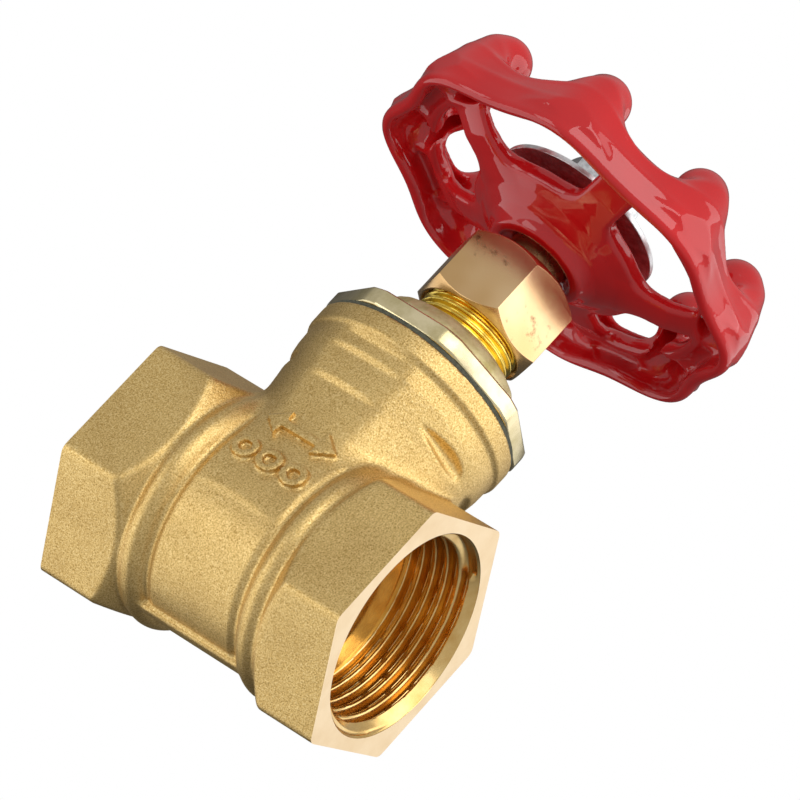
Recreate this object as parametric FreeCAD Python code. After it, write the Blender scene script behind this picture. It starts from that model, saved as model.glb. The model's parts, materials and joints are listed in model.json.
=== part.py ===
import FreeCAD, Part
import math
import os

# Brass gate valve, 3/4 inch, with a non-rising stem and a red lobed handwheel.
# Lengths are millimetres. The sub-parts are drawn about the valve's centre, where the flow axis (X)
# crosses the stem axis (Z, up). They are written out shifted along +X, so that the frame's origin is
# the centre of the inlet's face: +X is the flow direction from inlet to outlet.

V = FreeCAD.Vector
Z_AXIS = V(0, 0, 1)
X_AXIS = V(1, 0, 0)

# Driving dimensions -------------------------------------------------------------------------
FACE_TO_FACE = 42.4          # inlet face to outlet face
HEX_CORNER_R = 17.5          # port hexagon, corner up
HEX_LENGTH = 8.9             # of each port hexagon
PORT_R = 12.06               # G 3/4 thread, minor radius, drawn as a plain bore
PORT_DEPTH = 11.2
WATERWAY_R = 8.0
BARREL_R = 14.2              # round belly between the port hexagons
BODY_TOP_Z = 27.4            # joint between the body and the bonnet
BODY_TOP_R = 14.8
BONNET_THREAD_R = 12.5       # screwed joint of the bonnet in the body, drawn plain
GATE_R = 9.4
GATE_HALF_WIDTH = 5.6        # half thickness of the gate on the flow axis
WEDGE_SLOPE = math.tan(math.radians(4.0))
STEM_R = 4.0
STEM_END_Z = 8.8             # lower end of the stem
SQUARE_FLATS = 5.6           # square that drives the wheel
TIP_R = 2.95                 # M6 thread for the wheel nut
NUT_ACROSS_FLATS = 15.6      # packing nut
WHEEL_R = 26.9               # at the lobes
NOTCH_R = 25.1               # at the lip between the lobes
WHEEL_LOBES = 8
LOBE_R = 3.8
KNOB_R = 20.4                # radius at which the lobes' knobs sit
WHEEL_SPOKES = 5
SPOKE_HALF_WIDTH = 3.0
OPENING_IN_R = 12.1          # the openings between the spokes, inner and outer edge
OPENING_OUT_R = 20.6
PLATE_R = 11.6               # round plate under the wheel nut
PLAIN_WASHER_T = 0.8
SPRING_WASHER_T = 1.1
WHEEL_NUT_T = 3.0
WHEEL_NUT_FLATS = 10.0

# Clearances ---------------------------------------------------------------------------------
RUNNING = 0.05               # radial, between pieces that turn or slide
SETTLED = 0.02               # between pieces that are clamped together
SEAT_GAP = 0.04              # gate to seat when closed

# Levels along the stem ----------------------------------------------------------------------
GASKET_T = 0.5
FLANGE_Z = BODY_TOP_Z + GASKET_T
FLANGE_TOP_Z = 30.4
SPIGOT_Z = 19.4              # lower end of the bonnet's screwed spigot
CEILING_Z = 32.6             # top of the room that the raised gate needs
BOX_FLOOR_Z = 35.0           # floor of the stuffing box
NECK_TOP_Z = 43.6
NECK_R = 7.0
BOX_R = 5.4
WASHER_T = 0.5
COLLAR_Z = BOX_FLOOR_Z + WASHER_T + RUNNING
COLLAR_T = 1.75
RING_T = 1.5
RING_COUNT = 3
NUT_Z = 37.6
NUT_TOP_Z = 47.8
NUT_SEAT_Z = 45.6            # where the nut bears on the gland
HUB_Z = 50.5
SQUARE_Z = 51.6
HUB_TOP_Z = 58.2
PLATE_T = 0.8
WHEEL_TOP_Z = 66.4
RIM_TOP_Z = 60.5
RIDGE_TOP_Z = 62.6
LIP_Z = 53.5
STEM_TOP_Z = 64.4

CENTRE_X = FACE_TO_FACE / 2
HEX_INNER_X = CENTRE_X - HEX_LENGTH
LOBE_PHASE = 10.8            # degrees from +X to the first lobe
SPOKE_PHASE = 16.0


# Helpers ------------------------------------------------------------------------------------
def turned(points, axis=Z_AXIS):
    """Solid of revolution from (radius, height) points, about the Z or the X axis."""
    if axis is Z_AXIS:
        corners = [V(r, 0, h) for r, h in points]
    else:
        corners = [V(h, r, 0) for r, h in points]
    face = Part.Face(Part.makePolygon(corners + corners[:1]))
    return face.revolve(V(0, 0, 0), axis, 360)


def ring(r_in, r_out, z_low, z_high):
    return turned([(r_in, z_low), (r_out, z_low), (r_out, z_high), (r_in, z_high)])


def disc(r, z_low, z_high):
    return Part.makeCylinder(r, z_high - z_low, V(0, 0, z_low), Z_AXIS)


def across(r, x_low, x_high):
    """Cylinder along the flow axis."""
    return Part.makeCylinder(r, x_high - x_low, V(x_low, 0, 0), X_AXIS)


def box(x, y, z):
    """Box from three (low, high) pairs."""
    return Part.makeBox(x[1] - x[0], y[1] - y[0], z[1] - z[0], V(x[0], y[0], z[0]))


def polygon_prism(corner_r, sides, low, high, phase=0.0, axis=Z_AXIS):
    """Regular prism. On the Z axis the phase runs from +X, on the X axis from +Z."""
    corners = []
    for i in range(sides):
        a = math.radians(phase + 360.0 * i / sides)
        if axis is Z_AXIS:
            corners.append(V(corner_r * math.cos(a), corner_r * math.sin(a), low))
        else:
            corners.append(V(low, corner_r * math.sin(a), corner_r * math.cos(a)))
    face = Part.Face(Part.makePolygon(corners + corners[:1]))
    return face.extrude(axis * (high - low))


def both_ends(shape):
    """The shape and its mirror image across the stem's plane."""
    return shape.fuse(shape.mirror(V(0, 0, 0), X_AXIS))


def fused(shapes):
    return shapes[0].multiFuse(shapes[1:]).removeSplitter()


# Body ---------------------------------------------------------------------------------------
def port_hexagon():
    """One port's hexagon, its inner corners turned down to the round bead behind it."""
    prism = polygon_prism(HEX_CORNER_R, 6, HEX_INNER_X, CENTRE_X, 0.0, X_AXIS)
    taper_len = 2.6
    envelope = turned(
        [(0, HEX_INNER_X), (BARREL_R + 0.6, HEX_INNER_X), (HEX_CORNER_R + 0.1, HEX_INNER_X + taper_len),
         (HEX_CORNER_R + 0.1, CENTRE_X), (0, CENTRE_X)], X_AXIS)
    return prism.common(envelope)


def port_bead():
    """Round bead between the belly and the port hexagon."""
    half = (HEX_INNER_X - 7.6) / 2
    middle = HEX_INNER_X - half
    crown = BARREL_R + 1.0
    return turned(
        [(0, middle - half), (BARREL_R - 0.4, middle - half), (crown - 0.2, middle - 0.45 * half),
         (crown, middle), (crown - 0.1, middle + half), (0, middle + half)], X_AXIS)


def leaf_pocket():
    """Shallow leaf-shaped hollow between the neck's band and the port's upper corner, on +X."""
    floor_r, half_length, half_height, z = 13.05, 4.4, 1.2, 19.5
    ends = [V(floor_r, -half_length, z), V(floor_r, half_length, z)]
    upper = Part.Arc(ends[0], V(floor_r, 0, z + half_height), ends[1]).toShape()
    lower = Part.Arc(ends[1], V(floor_r, 0, z - half_height), ends[0]).toShape()
    return Part.Face(Part.Wire([upper, lower])).extrude(V(4.0, 0, 0))


def neck():
    """Neck that rises from the belly to the round top, with two shallow steps."""
    top = turned(
        [(0, 0), (12.7, 0), (12.9, 12.0), (13.2, 17.6), (13.6, 17.9), (13.8, 21.8), (14.3, 22.2),
         (14.35, 24.5), (BODY_TOP_R, 24.8), (BODY_TOP_R, BODY_TOP_Z), (0, BODY_TOP_Z)])
    for angle in (-27, 27, 153, 207):
        pocket = leaf_pocket()
        pocket.rotate(V(0, 0, 0), Z_AXIS, angle)
        top = top.cut(pocket)
    return top


def flow_arrow():
    """Raised two-headed arrow on the front of the neck: this valve works in both directions."""
    reach, head, half_shaft, half_head = 5.2, 2.6, 0.55, 1.9
    z, front_y = 9.4, -13.3
    outline = [(-reach, 0), (-reach + head, half_head), (-reach + head, half_shaft),
               (reach - head, half_shaft), (reach - head, half_head), (reach, 0),
               (reach - head, -half_head), (reach - head, -half_shaft),
               (-reach + head, -half_shaft), (-reach + head, -half_head)]
    corners = [V(x, front_y, z + dz) for x, dz in outline]
    face = Part.Face(Part.makePolygon(corners + corners[:1]))
    return face.extrude(V(0, 4.0, 0))


def flow_pips():
    """Three raised rings under the arrow."""
    z, front_y, depth, spacing = 3.9, -14.15, 2.0, 3.7
    outer_r, inner_r = 1.65, 0.85
    pips = []
    for x in (-spacing, 0.0, spacing):
        foot = V(x, front_y, z)
        inward = V(0, 1, 0)
        pips.append(Part.makeCylinder(outer_r, depth, foot, inward).cut(
            Part.makeCylinder(inner_r, depth, foot, inward)))
    return pips


def seats():
    """Two seat rings that stand into the gate chamber, faced to the wedge angle."""
    seat_r = WATERWAY_R + 1.6
    chamber = 7.6
    rings = across(seat_r, -chamber, chamber)
    low, high = -seat_r - 1, seat_r + 1
    gap_low = GATE_HALF_WIDTH + SEAT_GAP + low * WEDGE_SLOPE
    gap_high = GATE_HALF_WIDTH + SEAT_GAP + high * WEDGE_SLOPE
    corners = [V(-gap_low, -seat_r - 1, low), V(gap_low, -seat_r - 1, low),
               V(gap_high, -seat_r - 1, high), V(-gap_high, -seat_r - 1, high)]
    face = Part.Face(Part.makePolygon(corners + corners[:1]))
    return rings.cut(face.extrude(V(0, 2 * seat_r + 2, 0)))


def gate_chamber():
    half_x, half_y = 7.3, 10.8
    room = box((-half_x, half_x), (-half_y, half_y), (0, SPIGOT_Z)).common(disc(11.35, 0, SPIGOT_Z))
    return room.fuse(across(half_y, -half_x, half_x))


def guide_ribs():
    """Two upright ribs that keep the gate from turning with the stem."""
    ribs = [box((-1.0, 1.0), (8.7, 11.2), (-3.0, 19.0)), box((-1.0, 1.0), (-11.2, -8.7), (-3.0, 19.0))]
    return fused(ribs)


def valve_body():
    rib = box((-HEX_INNER_X, HEX_INNER_X), (-1.0, 1.0), (-BARREL_R - 0.7, -BARREL_R + 1.0))
    outside = fused([across(BARREL_R, -HEX_INNER_X, HEX_INNER_X), both_ends(port_hexagon()),
                     both_ends(port_bead()), neck(), rib, flow_arrow()] + flow_pips())
    bonnet_bore = disc(BONNET_THREAD_R + SETTLED, SPIGOT_Z - 0.4, BODY_TOP_Z)
    body = outside.cut(gate_chamber()).cut(bonnet_bore)
    body = body.fuse(seats()).fuse(guide_ribs().common(outside))
    body = body.cut(across(WATERWAY_R, -CENTRE_X, CENTRE_X))
    body = body.cut(both_ends(across(PORT_R, CENTRE_X - PORT_DEPTH, CENTRE_X)))
    return body.removeSplitter()


# Bonnet and stuffing box --------------------------------------------------------------------
def bonnet():
    spigot_in = 11.3
    shell = turned(
        [(spigot_in, SPIGOT_Z), (BONNET_THREAD_R, SPIGOT_Z), (BONNET_THREAD_R, FLANGE_Z),
         (BODY_TOP_R + 1.0, FLANGE_Z), (BODY_TOP_R + 1.0, FLANGE_TOP_Z), (11.0, FLANGE_TOP_Z),
         (10.4, 32.4), (9.7, 33.8), (7.8, 34.9), (NECK_R, 35.4), (NECK_R, NECK_TOP_Z - 0.4),
         (NECK_R - 0.4, NECK_TOP_Z), (BOX_R, NECK_TOP_Z), (BOX_R, BOX_FLOOR_Z),
         (STEM_R + RUNNING, BOX_FLOOR_Z), (STEM_R + RUNNING, CEILING_Z), (6.4, CEILING_Z),
         (6.4, 31.0), (spigot_in, 28.4)])
    flats = polygon_prism(15.3, 8, FLANGE_Z, FLANGE_TOP_Z, 25.0).common(
        disc(15.0, FLANGE_Z, FLANGE_TOP_Z))
    outside = disc(BONNET_THREAD_R, SPIGOT_Z, FLANGE_Z).fuse(flats).fuse(
        disc(11.0, FLANGE_TOP_Z, NECK_TOP_Z))
    return shell.common(outside.removeSplitter())


def bonnet_gasket():
    return ring(BONNET_THREAD_R + 0.2, 14.5, BODY_TOP_Z, FLANGE_Z)


def thrust_washer():
    return ring(STEM_R + RUNNING, BOX_R - RUNNING, BOX_FLOOR_Z, BOX_FLOOR_Z + WASHER_T)


def packing_floor_z():
    return COLLAR_Z + COLLAR_T + RUNNING + WASHER_T


def packing_washer():
    top = packing_floor_z()
    return ring(STEM_R + RUNNING, BOX_R - RUNNING, top - WASHER_T, top)


def packing_ring(index):
    low = packing_floor_z() + index * RING_T
    return ring(STEM_R + RUNNING, BOX_R - SETTLED, low, low + RING_T)


def gland_bush():
    low = packing_floor_z() + RING_COUNT * RING_T
    step = NECK_TOP_Z + 0.7
    return turned(
        [(STEM_R + RUNNING, low), (BOX_R - RUNNING, low), (BOX_R - RUNNING, step), (6.4, step),
         (6.4, NUT_SEAT_Z), (STEM_R + RUNNING, NUT_SEAT_Z)])


def packing_nut():
    corner_r = NUT_ACROSS_FLATS / math.sqrt(3)
    prism = polygon_prism(corner_r, 6, NUT_Z, NUT_TOP_Z, 3.0)
    envelope = turned(
        [(0, NUT_Z), (7.6, NUT_Z), (corner_r + 0.05, NUT_Z + 1.5), (corner_r + 0.05, NUT_TOP_Z - 1.4),
         (7.5, NUT_TOP_Z), (0, NUT_TOP_Z)])
    nut = prism.common(envelope)
    return nut.cut(disc(NECK_R + SETTLED, NUT_Z, NUT_SEAT_Z)).cut(disc(STEM_R + 0.35, NUT_SEAT_Z, NUT_TOP_Z))


# Moving pieces ------------------------------------------------------------------------------
def stem():
    core = turned(
        [(0, STEM_END_Z), (STEM_R - 0.8, STEM_END_Z), (STEM_R, STEM_END_Z + 0.8), (STEM_R, COLLAR_Z),
         (BOX_R - 0.1, COLLAR_Z), (BOX_R - 0.1, COLLAR_Z + COLLAR_T), (STEM_R, COLLAR_Z + COLLAR_T),
         (STEM_R, SQUARE_Z), (0, SQUARE_Z)])
    half = SQUARE_FLATS / 2
    square = box((-half, half), (-half, half), (SQUARE_Z, HUB_TOP_Z - 0.3))
    tip = turned([(0, HUB_TOP_Z - 0.3), (TIP_R, HUB_TOP_Z - 0.3), (TIP_R, STEM_TOP_Z - 0.5),
                  (TIP_R - 0.5, STEM_TOP_Z), (0, STEM_TOP_Z)])
    square = square.common(disc(STEM_R - 0.1, SQUARE_Z, HUB_TOP_Z))
    return core.fuse(square).fuse(tip.common(disc(TIP_R, HUB_TOP_Z - 0.3, STEM_TOP_Z)))


def gate_wedge():
    """Hollow wedge disc with a boss, threaded on the stem, and a slot each side for the ribs."""
    low, high = -GATE_R - 1, GATE_R + 1
    thin = GATE_HALF_WIDTH + low * WEDGE_SLOPE
    thick = GATE_HALF_WIDTH + high * WEDGE_SLOPE
    corners = [V(-thin, low, low), V(thin, low, low), V(thick, low, high), V(-thick, low, high)]
    face = Part.Face(Part.makePolygon(corners + corners[:1]))
    wedge = face.extrude(V(0, high - low, 0)).common(across(GATE_R, -thick, thick))
    boss_top = STEM_END_Z + 5.4
    boss = disc(STEM_R + 1.5, 5.0, boss_top)
    gate = wedge.fuse(boss)
    gate = gate.cut(disc(STEM_R + RUNNING, STEM_END_Z, boss_top))
    gate = gate.cut(disc(STEM_R + 0.3, -GATE_R - 1, STEM_END_Z))
    for side in (-1, 1):
        slot_y = sorted((side * 8.3, side * (GATE_R + 1)))
        gate = gate.cut(box((-1.3, 1.3), slot_y, (-GATE_R - 1, GATE_R + 1)))
    return gate.removeSplitter()


def wheel_rim():
    """Rim section between two lobes: lip, outer wall, and the floor that joins it to the web."""
    return turned(
        [(NOTCH_R - 1.6, LIP_Z), (NOTCH_R, LIP_Z), (NOTCH_R - 0.2, 56.5), (23.5, RIM_TOP_Z),
         (22.4, RIM_TOP_Z), (22.7, 57.7), (20.9, 57.7), (20.9, 56.1), (22.9, 56.2)])


def spoke_end(angle):
    """Short upright rib across the outer end of a spoke."""
    wide = SPOKE_HALF_WIDTH
    rib = ring(20.1, 21.3, 56.8, RIDGE_TOP_Z).common(box((15.0, 22.0), (-wide, wide), (56.0, 64.0)))
    rib.rotate(V(0, 0, 0), Z_AXIS, angle)
    return rib


def wheel_lobe(angle):
    """Hollow knuckle that leans inwards from the lip to a round knob."""
    foot = V(24.0, 0, LIP_Z - 1.0)
    knob = V(KNOB_R, 0, WHEEL_TOP_Z - LOBE_R)
    lean = knob - foot

    def finger(r):
        return Part.makeCylinder(r, lean.Length, foot, lean).fuse(Part.makeSphere(r, knob))
    room = disc(WHEEL_R, LIP_Z, WHEEL_TOP_Z + 1)
    lobe = finger(LOBE_R).cut(finger(LOBE_R - 1.4)).common(room)
    lobe.rotate(V(0, 0, 0), Z_AXIS, angle)
    return lobe


def wheel_opening(angle):
    """Opening between two spokes, with rounded corners, drawn about +X."""
    low, high, corner_r = 50.0, 64.0, 1.6
    half_pitch = math.pi / WHEEL_SPOKES
    apex = SPOKE_HALF_WIDTH / math.sin(half_pitch)
    far = V(30.0 * math.cos(half_pitch), 30.0 * math.sin(half_pitch), 0)
    corners = [V(apex, 0, low), V(apex + far.x, far.y, low), V(apex + far.x, -far.y, low)]
    sector = Part.Face(Part.makePolygon(corners + corners[:1])).extrude(V(0, 0, high - low))
    annulus = disc(OPENING_OUT_R, low, high).cut(disc(OPENING_IN_R, low, high))
    annulus.rotate(V(0, 0, 0), Z_AXIS, 180)
    hole = sector.common(annulus)
    upright = [edge for edge in hole.Edges if edge.BoundBox.ZLength > corner_r]
    hole = hole.makeFillet(corner_r, upright)
    hole.rotate(V(0, 0, 0), Z_AXIS, angle)
    return hole


def handwheel():
    web = turned(
        [(0, HUB_Z), (6.4, HUB_Z), (7.6, 51.8), (10.5, 53.4), (17.0, 54.6), (20.3, 55.8), (21.6, 56.3),
         (21.6, 57.3), (20.3, 57.4), (17.0, 56.3), (12.5, 55.8), (9.0, HUB_TOP_Z), (0, HUB_TOP_Z)])
    pitch = 360.0 / WHEEL_SPOKES
    for i in range(WHEEL_SPOKES):
        web = web.cut(wheel_opening(SPOKE_PHASE + (i + 0.5) * pitch))
    wheel = wheel_rim().fuse(web)
    for i in range(WHEEL_SPOKES):
        wheel = wheel.fuse(spoke_end(SPOKE_PHASE + i * pitch))
    for i in range(WHEEL_LOBES):
        wheel = wheel.fuse(wheel_lobe(LOBE_PHASE + i * 360.0 / WHEEL_LOBES))
    half = SQUARE_FLATS / 2 + SETTLED
    socket = box((-half, half), (-half, half), (SQUARE_Z, HUB_TOP_Z))
    return wheel.cut(socket).cut(disc(STEM_R + SETTLED, HUB_Z, SQUARE_Z))


def name_plate():
    return ring(TIP_R + 0.1, PLATE_R, HUB_TOP_Z, HUB_TOP_Z + PLATE_T)


def plain_washer():
    low = HUB_TOP_Z + PLATE_T
    return ring(TIP_R + 0.1, 5.6, low, low + PLAIN_WASHER_T)


def spring_washer():
    """Split lock washer, flattened by the nut."""
    low = HUB_TOP_Z + PLATE_T + PLAIN_WASHER_T
    coil = ring(TIP_R + 0.2, 4.9, low, low + SPRING_WASHER_T)
    half_split = 0.35
    return coil.cut(box((0, 6), (-half_split, half_split), (low - 1, low + 2)))


def wheel_nut():
    low = HUB_TOP_Z + PLATE_T + PLAIN_WASHER_T + SPRING_WASHER_T
    high = low + WHEEL_NUT_T
    corner_r = WHEEL_NUT_FLATS / math.sqrt(3)
    prism = polygon_prism(corner_r, 6, low, high, 12.0)
    envelope = turned([(0, low), (corner_r + 0.05, low), (corner_r + 0.05, high - 0.7), (4.9, high), (0, high)])
    return prism.common(envelope).cut(disc(TIP_R + SETTLED, low, high))


# Output -------------------------------------------------------------------------------------
def pieces():
    made = {
        "valve_body": valve_body(), "bonnet": bonnet(), "bonnet_gasket": bonnet_gasket(),
        "thrust_washer": thrust_washer(), "packing_washer": packing_washer(),
        "gland_bush": gland_bush(), "packing_nut": packing_nut(), "stem": stem(),
        "gate_wedge": gate_wedge(), "handwheel": handwheel(), "name_plate": name_plate(),
        "plain_washer": plain_washer(), "spring_washer": spring_washer(), "wheel_nut": wheel_nut(),
    }
    for i in range(RING_COUNT):
        made[f"packing_ring_{i + 1}"] = packing_ring(i)
    return made


os.makedirs("parts", exist_ok=True)
for node, shape in pieces().items():
    shape.translate(V(CENTRE_X, 0, 0))
    bounds = shape.BoundBox
    print(f"{node:16s} solids {len(shape.Solids)} valid {shape.isValid()} volume {shape.Volume:9.1f}"
          f"  x {bounds.XMin:.2f} {bounds.XMax:.2f}  y {bounds.YMin:.2f} {bounds.YMax:.2f}"
          f"  z {bounds.ZMin:.2f} {bounds.ZMax:.2f}")
    shape.exportStep(f"parts/{node}.step")
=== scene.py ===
"""The looks of a 3/4 inch brass gate valve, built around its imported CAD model.

Shapes are worked out in millimetres about the crossing of the flow axis (X) and the stem axis (Z).
to_frame() moves them into the CAD frame, in metres. Castings are distance fields turned into meshes.
Machined faces, bores and threads are cut from them with clean solids, which leave their own finish.
"""

import json
import math

import bpy
import numpy as np
import openvdb
from mathutils import Matrix, Vector


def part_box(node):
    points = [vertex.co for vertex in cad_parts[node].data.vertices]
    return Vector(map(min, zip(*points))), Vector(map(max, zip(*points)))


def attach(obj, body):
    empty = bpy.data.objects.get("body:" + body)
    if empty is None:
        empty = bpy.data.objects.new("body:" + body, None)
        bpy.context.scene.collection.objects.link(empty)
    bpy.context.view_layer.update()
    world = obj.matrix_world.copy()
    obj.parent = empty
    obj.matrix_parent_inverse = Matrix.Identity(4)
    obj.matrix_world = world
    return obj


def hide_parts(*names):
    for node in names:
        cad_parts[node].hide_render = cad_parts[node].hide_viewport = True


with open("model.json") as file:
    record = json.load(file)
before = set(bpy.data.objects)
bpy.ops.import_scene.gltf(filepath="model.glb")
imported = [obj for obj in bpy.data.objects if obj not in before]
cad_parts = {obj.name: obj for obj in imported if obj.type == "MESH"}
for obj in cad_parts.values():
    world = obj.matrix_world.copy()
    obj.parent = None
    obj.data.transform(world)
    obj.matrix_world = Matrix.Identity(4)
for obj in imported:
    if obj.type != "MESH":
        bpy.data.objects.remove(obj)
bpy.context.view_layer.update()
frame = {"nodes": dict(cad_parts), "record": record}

MM = 0.001
TAU = 2 * math.pi


# Sizes from the CAD frame, in millimetres ----------------------------------------------------
def node_box(node):
    """Low and high corner of a CAD node about the crossing of the two axes."""
    low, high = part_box(node)
    return (np.array(low) / MM - CENTRE, np.array(high) / MM - CENTRE)


mounts = {mount["name"]: mount for mount in frame["record"]["mounts"]}
inlet, outlet = (np.array(mounts[name]["pos_m"]) / MM for name in ("inlet_port", "outlet_port"))
CENTRE = (inlet + outlet) / 2
FACE_X = float(outlet[0] - inlet[0]) / 2
THREAD_MINOR_R = mounts["outlet_port"]["dims"]["r_mm"]
THREAD_DEPTH = mounts["outlet_port"]["dims"]["length_mm"]

body_low, body_high = node_box("valve_body")
bonnet_high = node_box("bonnet")[1]
nut_low, nut_high = node_box("packing_nut")
stem_low, stem_high = node_box("stem")
plate_low, plate_high = node_box("name_plate")
washer_low, washer_high = node_box("plain_washer")
wheel_nut_low, wheel_nut_high = node_box("wheel_nut")
spring_low, spring_high = node_box("spring_washer")

HEX_CORNER_R = -float(body_low[2])
HEX_APOTHEM = HEX_CORNER_R * math.cos(math.radians(30))
BODY_TOP_Z = float(body_high[2])


# Meshes ---------------------------------------------------------------------------------------
def to_frame(points):
    return (np.asarray(points, float) + CENTRE) * MM


def new_piece(name, points, faces, material):
    mesh = bpy.data.meshes.new(name)
    mesh.from_pydata(to_frame(points), [], faces)
    mesh.validate()
    mesh.materials.append(material)
    piece = bpy.data.objects.new(name, mesh)
    bpy.context.scene.collection.objects.link(piece)
    return piece


def smooth(piece, angle=40):
    """Smooth shading, with edges sharper than the angle kept crisp."""
    piece.data.shade_smooth()
    piece.data.set_sharp_from_angle(angle=math.radians(angle))
    return piece


def applied(piece):
    """The piece with its modifiers made part of its mesh."""
    evaluated = piece.evaluated_get(bpy.context.evaluated_depsgraph_get())
    mesh = bpy.data.meshes.new_from_object(evaluated)
    piece.modifiers.clear()
    piece.data = mesh
    return piece


def combine(piece, others, operation="DIFFERENCE"):
    """Boolean with each of the others, whose faces keep their own material, and which are used up."""
    for other in others:
        step = piece.modifiers.new("step", "BOOLEAN")
        step.operation = operation
        step.object = other
        step.solver = "MANIFOLD"
        step.material_mode = "TRANSFER"
        applied(piece)
        bpy.data.objects.remove(other)
    return piece


def softened(piece, width, angle=30, segments=3):
    """Small round on every edge sharper than the angle."""
    step = piece.modifiers.new("soften", "BEVEL")
    step.width = width * MM
    step.segments = segments
    step.limit_method = "ANGLE"
    step.angle_limit = math.radians(angle)
    step.harden_normals = False
    return applied(piece)


def grid_faces(rows, columns, closed=False):
    """Quads between rows of points that each run once round an axis."""
    faces = []
    for j in range(rows if closed else rows - 1):
        a, b = j * columns, ((j + 1) % rows) * columns
        for i in range(columns):
            k = (i + 1) % columns
            faces.append((a + i, a + k, b + k, b + i))
    return faces


def lathe_points(radii, heights, segments, axis="Z"):
    """Points round the axis; radii is rows of one radius, or rows of one for each segment."""
    turn = np.linspace(0, TAU, segments, endpoint=False)
    radii = np.broadcast_to(np.asarray(radii, float).reshape(len(heights), -1), (len(heights), segments))
    along = np.broadcast_to(np.asarray(heights, float)[:, None], radii.shape)
    if axis == "Z":
        return np.stack([radii * np.cos(turn), radii * np.sin(turn), along], 2).reshape(-1, 3)
    return np.stack([along, radii * np.cos(turn), radii * np.sin(turn)], 2).reshape(-1, 3)


def outward(piece):
    """Turns the faces outwards, by the sign of the volume they enclose."""
    mesh = piece.data
    mesh.calc_loop_triangles()
    points = np.empty(len(mesh.vertices) * 3)
    mesh.vertices.foreach_get("co", points)
    corners = np.empty(len(mesh.loop_triangles) * 3, int)
    mesh.loop_triangles.foreach_get("vertices", corners)
    a, b, c = points.reshape(-1, 3)[corners.reshape(-1, 3)].transpose(1, 0, 2)
    if np.einsum("ij,ij->i", a, np.cross(b, c)).sum() < 0:
        mesh.flip_normals()
    return piece


def turned_solid(name, radii, heights, material, segments=128, axis="Z"):
    """Solid of revolution from low to high, capped at both ends. Radii may differ round each row."""
    points = lathe_points(radii, heights, segments, axis)
    faces = grid_faces(len(heights), segments)
    faces += [tuple(range(segments))[::-1], tuple(range(len(points) - segments, len(points)))]
    return outward(new_piece(name, points, faces, material))


def turned_ring(name, profile, material, segments=128, axis="Z"):
    """Closed (radius, height) profile turned about the axis."""
    radii, heights = zip(*profile)
    points = lathe_points(radii, heights, segments, axis)
    return outward(new_piece(name, points, grid_faces(len(profile), segments, closed=True), material))


def rounded(profile, radius, steps=4):
    """The closed profile with each corner rounded."""
    made = []
    for i, corner in enumerate(profile):
        corner = np.array(corner, float)
        before = np.array(profile[i - 1], float) - corner
        after = np.array(profile[(i + 1) % len(profile)], float) - corner
        reach = min(radius, 0.45 * np.linalg.norm(before), 0.45 * np.linalg.norm(after))
        start = corner + before / np.linalg.norm(before) * reach
        end = corner + after / np.linalg.norm(after) * reach
        for t in np.linspace(0, 1, steps + 1):
            made.append(tuple((1 - t) ** 2 * start + 2 * t * (1 - t) * corner + t * t * end))
    return made


def prism(name, corner_r, sides, low, high, phase, material, axis="Z"):
    """Regular prism; on the Z axis the phase runs from +X in degrees."""
    turn = np.radians(phase) + np.arange(sides) * TAU / sides
    points = []
    for h in (low, high):
        ring = [(corner_r * np.cos(t), corner_r * np.sin(t), h) for t in turn]
        points += ring if axis == "Z" else [(h, y, z) for y, z, _ in ring]
    faces = grid_faces(2, sides) + [tuple(range(sides))[::-1], tuple(range(sides, 2 * sides))]
    return outward(new_piece(name, points, faces, material))


def block(name, low, high, material):
    x, y, z = zip(low, high)
    points = [(x[i], y[j], z[k]) for i in (0, 1) for j in (0, 1) for k in (0, 1)]
    faces = [(0, 1, 3, 2), (4, 6, 7, 5), (0, 4, 5, 1), (2, 3, 7, 6), (0, 2, 6, 4), (1, 5, 7, 3)]
    return outward(new_piece(name, points, faces, material))


# Distance fields, for castings ----------------------------------------------------------------
def join(a, b, k):
    """Union of two fields with a fillet."""
    h = np.clip(0.5 + 0.5 * (b - a) / k, 0, 1)
    return b + (a - b) * h - k * h * (1 - h)


def meet(a, b, k):
    """Intersection of two fields with a rounded edge."""
    return -join(-a, -b, k)


def carve(a, tool, k):
    return meet(a, -tool, k)


def rod(u, w, start, end, start_r, end_r, side=0.0):
    """Distance to a rod in the (u, w) plane whose radius changes from its start to its end."""
    du, dw = end[0] - start[0], end[1] - start[1]
    t = np.clip(((u - start[0]) * du + (w - start[1]) * dw) / (du * du + dw * dw), 0, 1)
    off_u, off_w = u - start[0] - t * du, w - start[1] - t * dw
    return np.sqrt(off_u ** 2 + off_w ** 2 + side ** 2) - (start_r + t * (end_r - start_r))


def ease(t):
    t = np.clip(t, 0, 1)
    return t * t * (3 - 2 * t)


def cast_piece(name, field, low, high, step, material):
    """Mesh of the surface where the field(x, y, z) is zero, within the box from low to high."""
    axes = [np.arange(a, b + step, step, dtype=np.float32) for a, b in zip(low, high)]
    x, y, z = axes[0][:, None, None], axes[1][None, :, None], axes[2][None, None, :]
    values = field(x, y, z) + np.zeros((1, 1, 1), np.float32)
    values = np.broadcast_to(values, [len(a) for a in axes]).astype(np.float32)
    grid = openvdb.FloatGrid(float(values.max()))
    grid.copyFromArray(np.ascontiguousarray(values))
    points, _, quads = grid.convertToPolygons(isovalue=0.0, adaptivity=0.0)
    return outward(new_piece(name, points * step + np.array(low), quads.tolist(), material))


# Materials ------------------------------------------------------------------------------------
def new_material(name, **values):
    """Material, its node tree and its shader, with constant values set on the shader's own sockets."""
    material = bpy.data.materials.new(name)
    material.use_nodes = True
    tree = material.node_tree
    shader = tree.nodes["Principled BSDF"]
    for socket, value in values.items():
        shader.inputs[socket.replace("_", " ")].default_value = value
    return material, tree, shader


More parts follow.
